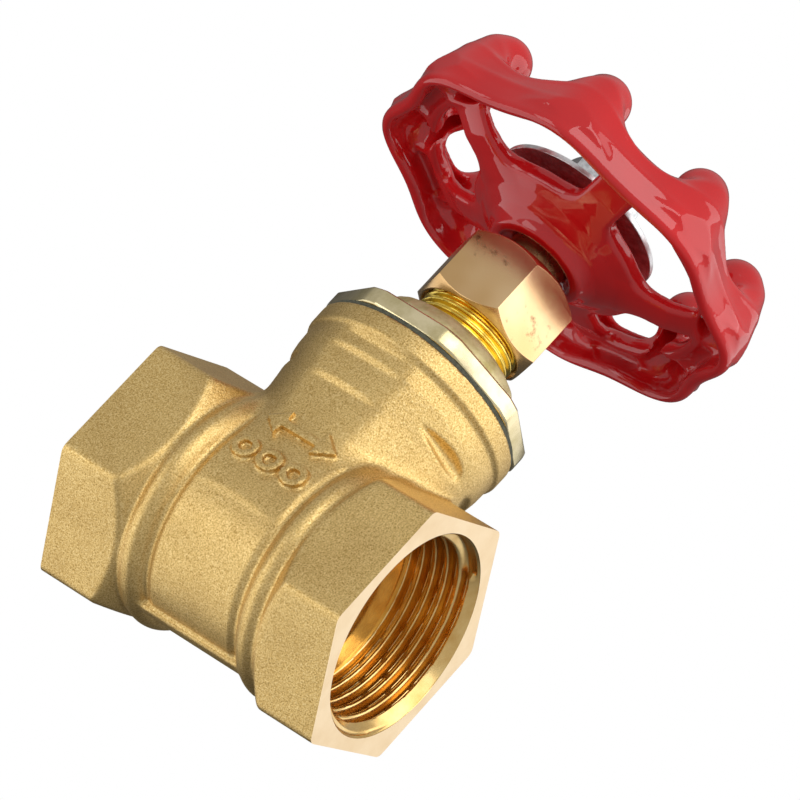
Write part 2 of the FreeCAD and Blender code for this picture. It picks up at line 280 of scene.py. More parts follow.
def object_noise(tree, scale, detail=2.0, rough=0.5, stretch=None):
    """Noise in the object's own space, with scale as features per metre."""
    place = tree.nodes.new("ShaderNodeTexCoord").outputs["Object"]
    if stretch:
        mapping = tree.nodes.new("ShaderNodeMapping")
        mapping.inputs["Scale"].default_value = stretch
        tree.links.new(place, mapping.inputs["Vector"])
        place = mapping.outputs["Vector"]
    noise = tree.nodes.new("ShaderNodeTexNoise")
    noise.inputs["Scale"].default_value = scale
    noise.inputs["Detail"].default_value = detail
    noise.inputs["Roughness"].default_value = rough
    tree.links.new(place, noise.inputs["Vector"])
    return noise.outputs["Fac"]


def colour_ramp(tree, factor, stops):
    ramp = tree.nodes.new("ShaderNodeValToRGB")
    elements = ramp.color_ramp.elements
    while len(elements) < len(stops):
        elements.new(0.5)
    for element, (place, colour) in zip(elements, stops):
        element.position = place
        element.color = (*colour, 1)
    tree.links.new(factor, ramp.inputs["Fac"])
    return ramp.outputs["Color"]


def mix_colour(tree, factor, first, second, blend="MIX"):
    mix = tree.nodes.new("ShaderNodeMix")
    mix.data_type = "RGBA"
    mix.blend_type = blend
    inputs = [s for s in mix.inputs if s.enabled]
    for socket, value in zip(inputs, (factor, first, second)):
        if isinstance(value, bpy.types.NodeSocket):
            tree.links.new(value, socket)
        elif isinstance(value, tuple):
            socket.default_value = (*value, 1)
        else:
            socket.default_value = value
    return [s for s in mix.outputs if s.enabled][0]


def scaled(tree, value, low, high, start=0):
    """Value that runs from start to 1, mapped to low to high."""
    node = tree.nodes.new("ShaderNodeMapRange")
    node.inputs["From Min"].default_value = start
    node.inputs["To Min"].default_value = low
    node.inputs["To Max"].default_value = high
    tree.links.new(value, node.inputs["Value"])
    return node.outputs["Result"]


def add_bump(tree, shader, layers):
    """Chain of bumps from (height, strength, depth in mm) layers."""
    normal = None
    for height, strength, depth in layers:
        node = tree.nodes.new("ShaderNodeBump")
        node.inputs["Strength"].default_value = strength
        node.inputs["Distance"].default_value = depth * MM
        tree.links.new(height, node.inputs["Height"])
        if normal:
            tree.links.new(normal, node.inputs["Normal"])
        normal = node.outputs["Normal"]
    tree.links.new(normal, shader.inputs["Normal"])


def cast_brass():
    """Shot-blasted casting: fine sparkling grain with soft patches of tone."""
    material, tree, shader = new_material("cast_brass", Metallic=1.0)
    grain = object_noise(tree, 5200, 3, 0.6)
    patches = object_noise(tree, 160, 2)
    tone = colour_ramp(tree, grain, [(0.30, (0.44, 0.27, 0.075)), (0.50, (0.76, 0.53, 0.20)),
                                     (0.72, (0.98, 0.76, 0.37))])
    shade = colour_ramp(tree, patches, [(0.3, (0.88, 0.86, 0.84)), (0.7, (1.0, 1.0, 1.0))])
    colour = mix_colour(tree, 1.0, tone, shade, "MULTIPLY")
    tree.links.new(colour, shader.inputs["Base Color"])
    tree.links.new(scaled(tree, grain, 0.50, 0.36), shader.inputs["Roughness"])
    coarse = object_noise(tree, 1800, 2)
    add_bump(tree, shader, [(coarse, 0.30, 0.09), (grain, 0.75, 0.06)])
    return material


def machined_brass(name, light, dark, rough, marks=2600, patch_scale=220, bump=0.12):
    """Turned or milled brass with faint tool marks and slight tarnish."""
    material, tree, shader = new_material(name, Metallic=1.0)
    patches = object_noise(tree, patch_scale, 4, 0.6)
    fine = object_noise(tree, marks, 2)
    tree.links.new(colour_ramp(tree, patches, [(0.32, dark), (0.62, light)]), shader.inputs["Base Color"])
    tree.links.new(scaled(tree, patches, rough * 1.25, rough * 0.8), shader.inputs["Roughness"])
    add_bump(tree, shader, [(fine, bump, 0.02)])
    return material


def stained_brass():
    """Forged and milled brass of the packing nut, with brown oxide blooms."""
    material, tree, shader = new_material("nut_brass", Metallic=1.0)
    blooms = object_noise(tree, 330, 6, 0.65)
    wide = object_noise(tree, 90, 2)
    clean = colour_ramp(tree, wide, [(0.35, (0.70, 0.43, 0.18)), (0.65, (0.90, 0.64, 0.36))])
    bloom = colour_ramp(tree, blooms, [(0.60, (0, 0, 0)), (0.72, (1, 1, 1))])
    tree.links.new(mix_colour(tree, bloom, clean, (0.17, 0.075, 0.035)), shader.inputs["Base Color"])
    tree.links.new(scaled(tree, blooms, 0.16, 0.34), shader.inputs["Roughness"])
    add_bump(tree, shader, [(blooms, 0.15, 0.05)])
    return material


def red_paint():
    """Thick dipped paint with a slight orange peel."""
    material, tree, shader = new_material(
        "red_paint", Roughness=0.5, Specular_IOR_Level=0.1,
        Coat_Weight=1.0, Coat_Roughness=0.03, Coat_IOR=1.55)
    depth = object_noise(tree, 70, 2)
    tone = colour_ramp(tree, depth, [(0.35, (0.50, 0.003, 0.005)), (0.65, (0.63, 0.005, 0.007))])
    tree.links.new(tone, shader.inputs["Base Color"])
    peel = object_noise(tree, 420, 1)
    add_bump(tree, shader, [(peel, 0.10, 0.25)])
    return material


def zinc_plate(name, base, rough, scale=1800):
    """Plated steel or bare aluminium with a fine grain."""
    material, tree, shader = new_material(name, Metallic=1.0)
    grain = object_noise(tree, scale, 3, 0.6)
    darker = tuple(0.72 * c for c in base)
    tree.links.new(colour_ramp(tree, grain, [(0.35, darker), (0.6, base)]), shader.inputs["Base Color"])
    tree.links.new(scaled(tree, grain, rough * 0.8, rough * 1.3), shader.inputs["Roughness"])
    add_bump(tree, shader, [(grain, 0.15, 0.03)])
    return material


def pressed_fibre(name, base, speck, rough):
    """Matt packing or gasket material, with fibres lying flat."""
    material, tree, shader = new_material(name)
    fibres = object_noise(tree, 2600, 4, 0.7, (1.0, 1.0, 3.0))
    tree.links.new(colour_ramp(tree, fibres, [(0.35, base), (0.7, speck)]), shader.inputs["Base Color"])
    tree.links.new(scaled(tree, fibres, rough * 0.85, min(1.0, rough * 1.15)), shader.inputs["Roughness"])
    add_bump(tree, shader, [(fibres, 0.4, 0.05)])
    return material


CAST = cast_brass()
FACE = machined_brass("face_brass", (0.94, 0.74, 0.48), (0.88, 0.67, 0.41), 0.36)
# Painted shade: threads and bores take a darker, more orange copy of the machined brass, standing in for the
# shade and interreflection in their recesses.
THREAD = machined_brass("thread_brass_painted_shade", (0.90, 0.64, 0.27), (0.70, 0.42, 0.13), 0.20, bump=0.06)
FLANGE = machined_brass("flange_brass", (0.93, 0.80, 0.50), (0.62, 0.52, 0.26), 0.24, bump=0.06)
COLLAR = machined_brass("collar_brass", (0.80, 0.72, 0.42), (0.50, 0.42, 0.17), 0.55, 900, 300, 0.4)
NECK = machined_brass("neck_brass", (0.92, 0.68, 0.14), (0.75, 0.50, 0.07), 0.20, bump=0.05)
STEM = machined_brass("stem_brass", (0.74, 0.55, 0.29), (0.40, 0.24, 0.10), 0.26)
NUT = stained_brass()
RED = red_paint()
ZINC = zinc_plate("zinc_steel", (0.72, 0.73, 0.74), 0.30)
PLATE = zinc_plate("plate_aluminium", (0.86, 0.86, 0.87), 0.34, 900)
FIBRE = pressed_fibre("gasket_fibre", (0.035, 0.038, 0.022), (0.13, 0.13, 0.09), 0.8)
PTFE = pressed_fibre("packing_ptfe", (0.82, 0.82, 0.79), (0.92, 0.92, 0.90), 0.55)


# Valve body -----------------------------------------------------------------------------------
BARREL_R = 14.1
BEAD_X = 9.1                 # crown of the bead behind each port hexagon
HEX_INNER_X = 10.6
COLLAR_R = 14.75             # turned-down foot of the hexagon, and the rib under the barrel
GROOVE_X = 7.0               # groove round the barrel, inside the bead
MARKS_PROUD = 0.7            # height of the cast marks over the skin
CAST_CELL = 0.25             # spacing of the grid that a casting is meshed from
CUTTER_REACH = 2.0           # how far cutters run past the faces they make
PORT_PITCH = 1.814
PORT_MAJOR_R = 13.22
WATERWAY_R = 8.0
SEAT_R = 9.6
WEDGE_ANGLE = math.radians(4.0)
BONNET_SEAT_R = 12.52
BONNET_SEAT_Z = 19.0


def hexagon_field(y, z):
    """Port hexagon with a corner up and slightly rounded edges."""
    sides = None
    for turn in np.radians((0, 60, 120)):
        side = np.abs(y * np.cos(turn) + z * np.sin(turn)) - HEX_APOTHEM
        sides = side if sides is None else meet(sides, side, 0.7)
    return sides


def port_ends_field(along, y, z, around_x):
    """Hexagon, its turned-down inner corners, and the bead behind it."""
    lean = math.radians(50)
    corner_cone = (around_x - COLLAR_R) * math.cos(lean) - (along - HEX_INNER_X) * math.sin(lean)
    hexagon = meet(hexagon_field(y, z), corner_cone, 0.5)
    hexagon = meet(hexagon, HEX_INNER_X - 0.4 - along, 0.3)
    bead_r = 1.65
    bead = np.hypot(along - BEAD_X, around_x - (15.3 - bead_r)) - bead_r
    collar = np.maximum(around_x - COLLAR_R, np.abs(along - 10.4) - 1.2)
    return join(join(hexagon, collar, 0.4), bead, 0.5)


def marks_field(x, z):
    """Cast marks on the front: a two-headed flow arrow over three round pips."""
    arrow_z, reach, head = 9.4, 5.3, 2.7
    shaft = np.maximum(np.abs(x) - reach + head, np.abs(z - arrow_z) - 0.6)
    barb = np.maximum(np.abs(z - arrow_z) * 0.80 + (np.abs(x) - reach) * 0.60, reach - head - np.abs(x))
    field = np.minimum(shaft, barb)
    pip_z, pip_r, pip_half = 3.9, 1.25, 0.46
    for pip_x in (-3.7, 0.0, 3.7):
        field = np.minimum(field, np.abs(np.hypot(x - pip_x, z - pip_z) - pip_r) - pip_half)
    return field


def leaf_pocket(x, y, z, around_z, side, flank):
    """Shallow leaf-shaped pocket on one shoulder of the neck, laid along the arc round the stem."""
    turn = math.atan2(side * math.sin(math.radians(27)), flank * math.cos(math.radians(27)))
    across = -x * math.sin(turn) + y * math.cos(turn)
    out = x * math.cos(turn) + y * math.sin(turn)
    arc = 13.7 * np.arctan2(across, out) * -flank * side
    half_height = 1.25 + 0.09 * arc
    return np.sqrt((arc / 5.4) ** 2 + ((z - 19.4) / half_height) ** 2 + ((around_z - 14.6) / 1.55) ** 2) - 1


def body_field(x, y, z):
    """The whole casting: barrel, neck with its steps, pockets, port ends, rib and marks."""
    along, around_x, around_z = np.abs(x), np.hypot(y, z), np.hypot(x, y)
    barrel = np.maximum(around_x - BARREL_R, along - HEX_INNER_X)
    groove = np.hypot(along - GROOVE_X, around_x - 14.55) - 0.85
    barrel = carve(barrel, groove, 0.5)

    neck_r = np.interp(z, [0, 12, 17.6, 22.0, 24.3, 24.9, 28],
                       [12.7, 12.9, 13.5, 14.2, 14.3, 14.75, 14.8]).astype(np.float32)
    step_fade = 1 - ease((around_z - np.abs(y) - 0.2) / 2.2)
    front = 12.65 + 0.55 * ease((z - 17.0) / 0.9) + 0.55 * ease((z - 21.4) / 0.9)
    front = front + 3.0 * ease((z - 23.6) / 2.0) + (1 - step_fade) * 0.8
    neck = meet(around_z - neck_r, np.abs(y) - front, 1.2)
    neck = meet(neck, z - BODY_TOP_Z, 0.3)
    neck = np.maximum(neck, -z)
    shell = join(barrel, neck, 3.0)

    for side in (-1, 1):
        for flank in (-1, 1):
            shell = carve(shell, leaf_pocket(x, y, z, around_z, side, flank), 0.15)

    ends = port_ends_field(along, y, z, around_x)
    shell = join(shell, ends, 0.9)
    rib = np.maximum(np.maximum(np.abs(y) - 0.8, around_x - COLLAR_R), np.maximum(z, along - 8))
    shell = join(shell, rib, 0.35)
    relief = np.maximum(np.maximum(shell - MARKS_PROUD, marks_field(x, z)), y + 5)
    return join(shell, relief, 0.25)


def thread_radius(depth, turn, blunt_turn, first=0.35):
    """Radius of the port's thread at a depth from its mouth, for a right-hand helix on +X.

    The thread starts bluntly at blunt_turn, and the bore is open to the major radius before that.
    """
    t = depth / PORT_PITCH + turn / TAU
    tooth = np.clip((np.abs(2 * (t % 1.0) - 1) - 0.16) / 0.68, 0, 1)
    radius = THREAD_MINOR_R + (PORT_MAJOR_R - THREAD_MINOR_R) * ease(tooth)
    start = first + PORT_PITCH * (((blunt_turn - turn) % TAU) / TAU)
    phase = (start / PORT_PITCH + turn / TAU) % 1.0
    return np.where(depth < start - PORT_PITCH * phase, PORT_MAJOR_R, radius)


def port_cutter(name):
    """Threaded bore of the +X port, with its entry chamfer, run-out and flat floor."""
    rows, segments = 150, 160
    depth = np.linspace(-CUTTER_REACH, THREAD_DEPTH, rows)[:, None]
    turn = np.linspace(0, TAU, segments, endpoint=False)[None, :]
    radius = thread_radius(depth, turn, math.radians(72))
    run_out = ease((depth - 9.6) / 0.7)
    radius = radius * (1 - run_out) + (THREAD_MINOR_R + 0.15) * run_out
    radius = np.maximum(radius, 13.5 - np.maximum(depth, 0) * 1.0)
    return turned_solid(name, radius[::-1], (FACE_X - depth[::-1, 0]), THREAD, segments, "X")


def quarter_turned(piece, degrees):
    """The piece turned about the stem axis, in its mesh."""
    shift = Matrix.Translation(Vector(CENTRE * MM))
    piece.data.transform(shift @ Matrix.Rotation(math.radians(degrees), 4, "Z") @ shift.inverted())
    return piece


def make_body():
    """Casting with its machined faces, threaded ports, wedge chamber, seats and plain bonnet seat cut from
    it.
    """
    reach = FACE_X + 1.0
    wide = HEX_CORNER_R + 0.8
    body = cast_piece("valve_body_casting", body_field, (-reach, -wide, -wide), (reach, wide, BODY_TOP_Z + 1),
                      CAST_CELL, CAST)
    for side in (-1, 1):
        face = block("face", (FACE_X, -30, -30), (FACE_X + 4, 30, 30), FACE)
        bore = port_cutter("bore")
        combine(body, [quarter_turned(piece, 0 if side > 0 else 180) for piece in (face, bore)])
    waterway = turned_solid("waterway", [WATERWAY_R] * 2, [-FACE_X, FACE_X], THREAD, 128, "X")
    chamber_r, chamber_x, chamber_y = 11.35, 7.3, 10.8
    chamber = block("chamber", (-chamber_x, -chamber_y, 0), (chamber_x, chamber_y, 19.4), CAST)
    combine(chamber, [turned_solid("round", [chamber_r] * 2, [-1, 20], CAST)], "INTERSECT")
    combine(chamber, [turned_solid("low", [chamber_y] * 2, [-chamber_x, chamber_x], CAST, 128, "X")], "UNION")
    seat = turned_solid("seat", [SEAT_R] * 2, [-7.6, 7.6], FACE, 128, "X")
    half_gap, wedge_r = 5.64, 10.6
    lean = wedge_r * math.tan(WEDGE_ANGLE)
    gap = [half_gap - lean, half_gap + lean]
    wedge = block("wedge", (-1, -wedge_r, -wedge_r), (1, wedge_r, wedge_r), FACE)
    for vertex in wedge.data.vertices:
        height = vertex.co.z / MM - CENTRE[2]
        side = 1 if vertex.co.x / MM > CENTRE[0] else -1
        vertex.co.x = (CENTRE[0] + side * (gap[0] if height < 0 else gap[1])) * MM
    combine(seat, [wedge])
    combine(chamber, [seat])
    for side in (-1, 1):
        low, high = sorted((side * 8.7, side * 11.6))
        combine(chamber, [block("guide", (-1.0, low, -3.0), (1.0, high, 19.0), CAST)])
    bonnet_seat = turned_solid("bonnet_seat", [BONNET_SEAT_R] * 2, [BONNET_SEAT_Z, BODY_TOP_Z + 2], THREAD)
    combine(body, [chamber, waterway, bonnet_seat])
    smooth(body, 42)
    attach(body, "housing")
    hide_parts("valve_body")


# Bonnet ---------------------------------------------------------------------------------------
FLANGE_Z = 27.9
FLANGE_TOP_Z = 30.4
FLANGE_CORNER_R = 15.3
FLANGE_R = 14.85              # the corners are turned down to this


def neck_thread(height, turn, pitch=1.0, root=6.45, crest=6.98):
    """Radius of an external right-hand thread about the stem axis."""
    t = height / pitch - turn / TAU
    tooth = np.clip((np.abs(2 * (t % 1.0) - 1) - 0.15) / 0.7, 0, 1)
    return root + (crest - root) * ease(tooth)


def collar_field(x, y, z):
    """Cast collar over the flange, with the slight ripple of a sand casting."""
    profile = np.interp(z, [29, 30.4, 32.4, 33.7, 34.7, 35.3], [11.2, 11.0, 10.45, 9.8, 7.9, 6.6])
    ripple = 0.04 * np.sin(2.1 * x + 1.7 * z) * np.sin(1.8 * y - 2.1 * z)
    return meet((np.hypot(x, y) - profile.astype(np.float32)) * 0.9, z - 35.0, 0.5) + ripple


def make_bonnet():
    """Turned flange, cast collar, threaded neck and the threaded spigot that goes into the body."""
    flange = prism("bonnet_casting", FLANGE_CORNER_R, 8, FLANGE_Z, FLANGE_TOP_Z, 25.0, FLANGE)
    disc = turned_solid("round", [FLANGE_R] * 2, [FLANGE_Z - 1, FLANGE_TOP_Z + 1], FLANGE)
    combine(flange, [disc], "INTERSECT")
    softened(flange, 0.4)

    collar = cast_piece("collar", collar_field, (-12, -12, 28.9), (12, 12, 36), 0.22, COLLAR)
    combine(flange, [collar], "UNION")

    heights = np.linspace(33.0, float(bonnet_high[2]), 180)
    turn = np.linspace(0, TAU, 96, endpoint=False)[None, :]
    radii = neck_thread(heights[:, None], turn)
    fade = ease((heights - float(bonnet_high[2]) + 0.6) / 0.6)[:, None]
    radii = radii * (1 - fade) + 6.5 * fade
    combine(flange, [turned_solid("neck", radii, heights, NECK, 96)], "UNION")

    spigot_rows = np.linspace(19.4, FLANGE_Z + 0.3, 120)
    spigot = turned_solid("spigot", 11.9 + 0.09 * neck_thread(spigot_rows[:, None], turn, 1.5, 0, 6.6),
                          spigot_rows, THREAD, 96)
    combine(flange, [spigot], "UNION")
    room = turned_solid("room", [11.3, 11.3, 6.4, 6.4], [18.0, 28.4, 31.0, 32.6], CAST)
    stem_way = turned_solid("stem_way", [4.06] * 2, [30.0, 36.0], THREAD, 96)
    packing_box = turned_solid("packing_box", [5.41] * 2, [35.0, 45.0], THREAD, 96)
    combine(flange, [room, stem_way, packing_box])
    smooth(flange, 38)
    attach(flange, "housing")
    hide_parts("bonnet")


# Packing nut ----------------------------------------------------------------------------------
PACKING_NUT_FLATS = 15.6


def make_packing_nut():
    """Hexagon nut with turned chamfers, a plain bore and a hole for the stem."""
    low, high = float(nut_low[2]), float(nut_high[2])
    corner_r = PACKING_NUT_FLATS / math.sqrt(3)
    nut = prism("packing_nut_milled", corner_r, 6, low, high, 3.0, NUT)
    envelope = turned_solid("envelope", [7.55, corner_r + 0.12, corner_r + 0.12, 7.35],
                            [low, low + 1.35, high - 1.45, high], NUT)
    combine(nut, [envelope], "INTERSECT")
    softened(nut, 0.20)
    seat_z = 45.6
    bore = turned_solid("bore", [7.5, 7.02, 7.02], [low - 0.1, low + 0.45, seat_z], THREAD)
    hole = turned_solid("hole", [4.36, 4.36, 4.9], [seat_z - 1, high - 0.5, high + 0.05], NUT)
    combine(nut, [bore, hole])
    smooth(nut, 32)
    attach(nut, "housing")
    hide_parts("packing_nut")


# Stem -----------------------------------------------------------------------------------------
LEAD = 3.2                    # travel of the gate in one turn
TIP_PITCH = 1.0


def make_stem():
    """Left-hand drive thread, collar, shaft, square for the wheel and threaded tip."""
    bottom, collar_z, square_z, top = float(stem_low[2]), 35.55, 51.6, float(stem_high[2])
    rows = np.linspace(bottom, 30.5, 190)
    turn = np.linspace(0, TAU, 96, endpoint=False)[None, :]
    tooth = (rows[:, None] / LEAD + turn / TAU) % 1.0
    tooth = ease(np.clip((np.abs(2 * tooth - 1) - 0.3) / 0.4, 0, 1))
    chamfer = 0.8 * (1 - ease((rows - bottom) / 0.9))[:, None]
    radii = 3.15 + 0.83 * tooth - chamfer * tooth
    stem = turned_solid("stem_turned", radii, rows, STEM, 96)
    shaft = turned_solid("shaft", [3.98, 3.98, 5.28, 5.28, 3.98, 3.98, 3.8],
                         [30.4, collar_z, collar_z + 0.02, collar_z + 1.72, collar_z + 1.74, square_z - 0.2,
                          square_z], STEM, 96)
    combine(stem, [shaft], "UNION")
    half = 2.8
    square = block("square", (-half, -half, square_z - 0.5), (half, half, 57.9), STEM)
    combine(square, [turned_solid("round", [3.88] * 2, [square_z - 1, 59], STEM, 96)], "INTERSECT")
    combine(stem, [square], "UNION")
    tip_rows = np.linspace(57.8, top, 110)
    tip_r = 2.93
    t = np.abs(2 * ((tip_rows[:, None] / TIP_PITCH - turn / TAU) % 1.0) - 1)
    tip = tip_r - 0.55 * (1 - ease((t - 0.1) / 0.8))
    end = ease((tip_rows - top + 0.7) / 0.7)[:, None]
    tip = tip * (1 - end) + 2.3 * end
    combine(stem, [turned_solid("tip", tip, tip_rows, STEM, 96)], "UNION")
    smooth(stem, 38)
    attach(stem, "spindle")
    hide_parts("stem")


# Handwheel ------------------------------------------------------------------------------------
LOBES, LOBE_PHASE = 8, math.radians(10.8)
SPOKES, SPOKE_PHASE = 5, math.radians(16.0)
WHEEL_R = 26.9                # crown of a lobe
WHEEL_GRID_Z = (49.8, 67.4)   # heights that the wheel is meshed between
WHEEL_CUT_Z = 66.38           # the lobes are cut flat here
SQUARE_HALF = 2.82            # the socket that takes the stem's square


def folded(turn, count, phase):
    """Angle from the nearest of the count evenly spaced features."""
    pitch = TAU / count
    return (turn - phase + pitch / 2) % pitch - pitch / 2


def wheel_wall(around, z, lobe):
    """Outer wall: stands almost straight at the lip, leans in towards its top edge."""
    def at(notch, crown):
        return notch + (crown - notch) * lobe
    lip = (at(24.15, 25.9), 54.45)
    belly = (at(24.25, 25.9), 57.0)
    shoulder = (at(23.7, 25.1), 58.9 + 1.8 * lobe)
    edge = (at(22.9, 23.9), 59.75 + 3.3 * lobe ** 2)
    wall = rod(around, z, lip, belly, 0.95, 0.75)
    wall = join(wall, rod(around, z, belly, shoulder, 0.75, 0.55), 0.3)
    return join(wall, rod(around, z, shoulder, edge, 0.55, at(0.33, 0.7)), 0.3)


def wheel_field(x, y, z):
    """Rim wall and floor, web with its openings, hub, and hollow fingers at the lobes."""
    around, turn = np.hypot(x, y), np.arctan2(y, x)
    lobe_turn = folded(turn, LOBES, LOBE_PHASE)
    lobe = (0.5 + 0.5 * np.cos(lobe_turn * LOBES)).astype(np.float32)
    lobe_x, lobe_y = around * np.cos(lobe_turn), around * np.sin(lobe_turn)
    spoke_turn = folded(turn, SPOKES, SPOKE_PHASE)
    across = around * np.sin(spoke_turn)

    wall = wheel_wall(around, z, lobe)
    ridge = rod(around, z, (21.1, 56.9), (20.9, 57.4), 0.7, 0.6)
    floor = rod(around, z, (21.2, 57.0), (23.6, 57.3), 0.65, 0.6)
    rim = join(ridge, floor, 0.6)

    middle = np.interp(around, [4, 6.6, 8.2, 10.5, 13.5, 17, 20.3],
                       [51.6, 52.4, 53.4, 54.2, 54.7, 55.3, 56.7])
    middle = middle.astype(np.float32) + 0.03 * np.minimum(np.abs(across), 4.0) ** 2 * ease((around - 8) / 5)
    thick = np.interp(around, [5, 9, 14, 21], [1.5, 1.2, 0.85, 0.72]).astype(np.float32)
    web = np.maximum(np.abs(z - middle) * 0.9 - thick, around - 21.2)
    opening = meet(meet(2.75 - np.abs(across), 12.4 - around, 3.0), around - 20.6, 2.2)
    web = carve(web, opening, 0.7)

    hub = meet(around - 6.5, np.abs(z - 54.35) - 3.85, 0.5)
    web = join(web, hub, 1.6)
    wheel = join(join(wall, rim, 0.7), web, 0.8)

    spread = 0.68 + 0.32 * ease((z - 55.5) / 4.0)
    finger = rod(lobe_x, z, (24.1, 55.5), (21.0, 62.85), 3.0, 3.45, lobe_y * spread)
    under = ((22.0 - around) * 1.2 + 57.4 - z) / 1.56
    finger = meet(np.maximum(finger, 56.6 - z), under, 0.5)
    wheel = join(wheel, finger, 2.0)
    hollow_spread = 0.52 + 0.48 * ease((z - 55.5) / 4.0)
    hollow = rod(lobe_x, z, (24.0, 52.0), (21.2, 61.6), 2.1, 2.05, lobe_y * hollow_spread)
    hollow = meet(hollow, around - (23.65 + 1.75 * lobe), 0.6)
    wheel = carve(wheel, hollow, 0.6)
    wheel = np.maximum(wheel, around - WHEEL_R + 0.05)
    mouth = np.maximum(around - (4.05 + 1.3 * ease((51.7 - z) / 1.2)), z - 51.8)
    return carve(wheel, mouth, 0.3)


def make_wheel():
    """Painted casting with a square socket."""
    reach = WHEEL_R + 0.6
    low, high = (-reach, -reach, WHEEL_GRID_Z[0]), (reach, reach, WHEEL_GRID_Z[1])
    wheel = cast_piece("handwheel_cast", wheel_field, low, high, CAST_CELL, RED)
    socket = block("socket", (-SQUARE_HALF, -SQUARE_HALF, 51.0), (SQUARE_HALF, SQUARE_HALF, 60.0), RED)
    combine(wheel, [socket, turned_solid("above", [27.0] * 2, [WHEEL_CUT_Z, 70], RED)])
    smooth(wheel, 60)
    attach(wheel, "spindle")
    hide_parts("handwheel")


# Fastening of the wheel -----------------------------------------------------------------------
WHEEL_NUT_FLATS = 10.0


def make_plate():
    """Pressed disc with a rolled edge and a ring of plain raised ticks."""
    low, high = float(plate_low[2]), float(plate_high[2])
    profile = [(3.06, low), (9.6, low), (10.2, low + 0.12), (10.9, low + 0.12), (11.58, low + 0.05),
               (11.58, high - 0.05), (10.9, high), (10.2, high - 0.12), (9.6, high - 0.12),
               (9.2, high - 0.25), (6.4, high - 0.25), (6.0, high - 0.02), (3.06, high - 0.02)]
    plate = turned_ring("name_plate_disc", rounded(profile, 0.12), PLATE, 160)
    for turn in np.radians(np.arange(0, 360, 15)):
        rib = block("rib", (7.0, -0.22, high - 0.4), (8.7, 0.22, high - 0.08), PLATE)
        combine(plate, [quarter_turned(rib, math.degrees(turn))], "UNION")
    smooth(plate, 35)
    return plate


def flat_ring(name, inner_r, outer_r, low, high, round_r):
    """Zinc-plated washer with rounded edges."""
    profile = [(inner_r, low), (outer_r, low), (outer_r, high), (inner_r, high)]
    return turned_ring(name, rounded(profile, round_r), ZINC)


def make_fasteners():
    """Plain washer, split spring washer and hexagon nut, from the wheel upwards."""
    low, high = float(washer_low[2]), float(washer_high[2])
    washer = flat_ring("plain_washer_disc", 3.08, 5.58, low, high, 0.15)
    low, high = float(spring_low[2]), float(spring_high[2])
    spring = flat_ring("spring_washer_coil", 3.18, 4.88, low, high, 0.2)
    combine(spring, [quarter_turned(block("split", (0, -0.35, low - 1), (7, 0.35, high + 1), ZINC), 0)])
    low, high = float(wheel_nut_low[2]), float(wheel_nut_high[2])
    corner_r = WHEEL_NUT_FLATS / math.sqrt(3)
    nut = prism("wheel_nut_hex", corner_r, 6, low, high, 12.0, ZINC)
    envelope = turned_solid("envelope", [4.95, corner_r + 0.1, corner_r + 0.1, 4.95],
                            [low, low + 0.5, high - 0.5, high], ZINC)
    combine(nut, [envelope], "INTERSECT")
    softened(nut, 0.12)
    bore = turned_solid("bore", [3.4, 2.97, 2.97, 3.4],
                        [low - 0.05, low + 0.4, high - 0.4, high + 0.05], ZINC)
    combine(nut, [bore])
    for piece in (washer, spring, nut):
        smooth(piece, 35)
    return washer, spring, nut


# Studio ---------------------------------------------------------------------------------------
AZIMUTH, ELEVATION, ROLL = (math.radians(a) for a in (29.793, -21.607, 42.637))
CAMERA_DISTANCE = 619.55
CAMERA_AIM = (-0.452, -0.574, 25.192)      # about the crossing of the axes
LENS = 233.525
SENSOR_WIDTH = 36
DIM_SIDE = (-0.45, -0.45, -0.77)           # the room's dark side, as right, up and back


def camera_axes():
    """The camera's right, up and back directions."""
    back = Vector((math.sin(AZIMUTH) * math.cos(ELEVATION), -math.cos(AZIMUTH) * math.cos(ELEVATION),
                   math.sin(ELEVATION)))
    level_right = Vector((0, 0, 1)).cross(back).normalized()
    level_up = back.cross(level_right)
    right = level_right * math.cos(ROLL) + level_up * math.sin(ROLL)
    return right, back.cross(right), back


def make_camera():
    right, up, back = camera_axes()
    data = bpy.data.cameras.new("camera")
    data.lens, data.sensor_width = LENS, SENSOR_WIDTH
    data.clip_start, data.clip_end = 0.01, 10
    camera = bpy.data.objects.new("camera", data)
    turn = Matrix((right, up, back)).transposed().to_4x4()
    place = Vector(to_frame(CAMERA_AIM)) + back * CAMERA_DISTANCE * MM
    camera.matrix_world = Matrix.Translation(place) @ turn
    bpy.context.scene.collection.objects.link(camera)
    bpy.context.scene.camera = camera


def softbox(name, toward, distance, width, height, radiance, tint=(1, 1, 1)):
    """Area lamp at (right, up, back) of the camera's view, aimed at the valve."""
    right, up, back = camera_axes()
    way = (right * toward[0] + up * toward[1] + back * toward[2]).normalized()
    data = bpy.data.lights.new(name, "AREA")
    data.shape, data.size, data.size_y = "RECTANGLE", width, height
    data.energy, data.color = radiance * math.pi * width * height, tint
    lamp = bpy.data.objects.new(name, data)
    middle = Vector(to_frame((0, 0, 25)))
    lamp.location = middle + way * distance
    lamp.rotation_euler = way.to_track_quat("Z", "Y").to_euler()
    bpy.context.scene.collection.objects.link(lamp)


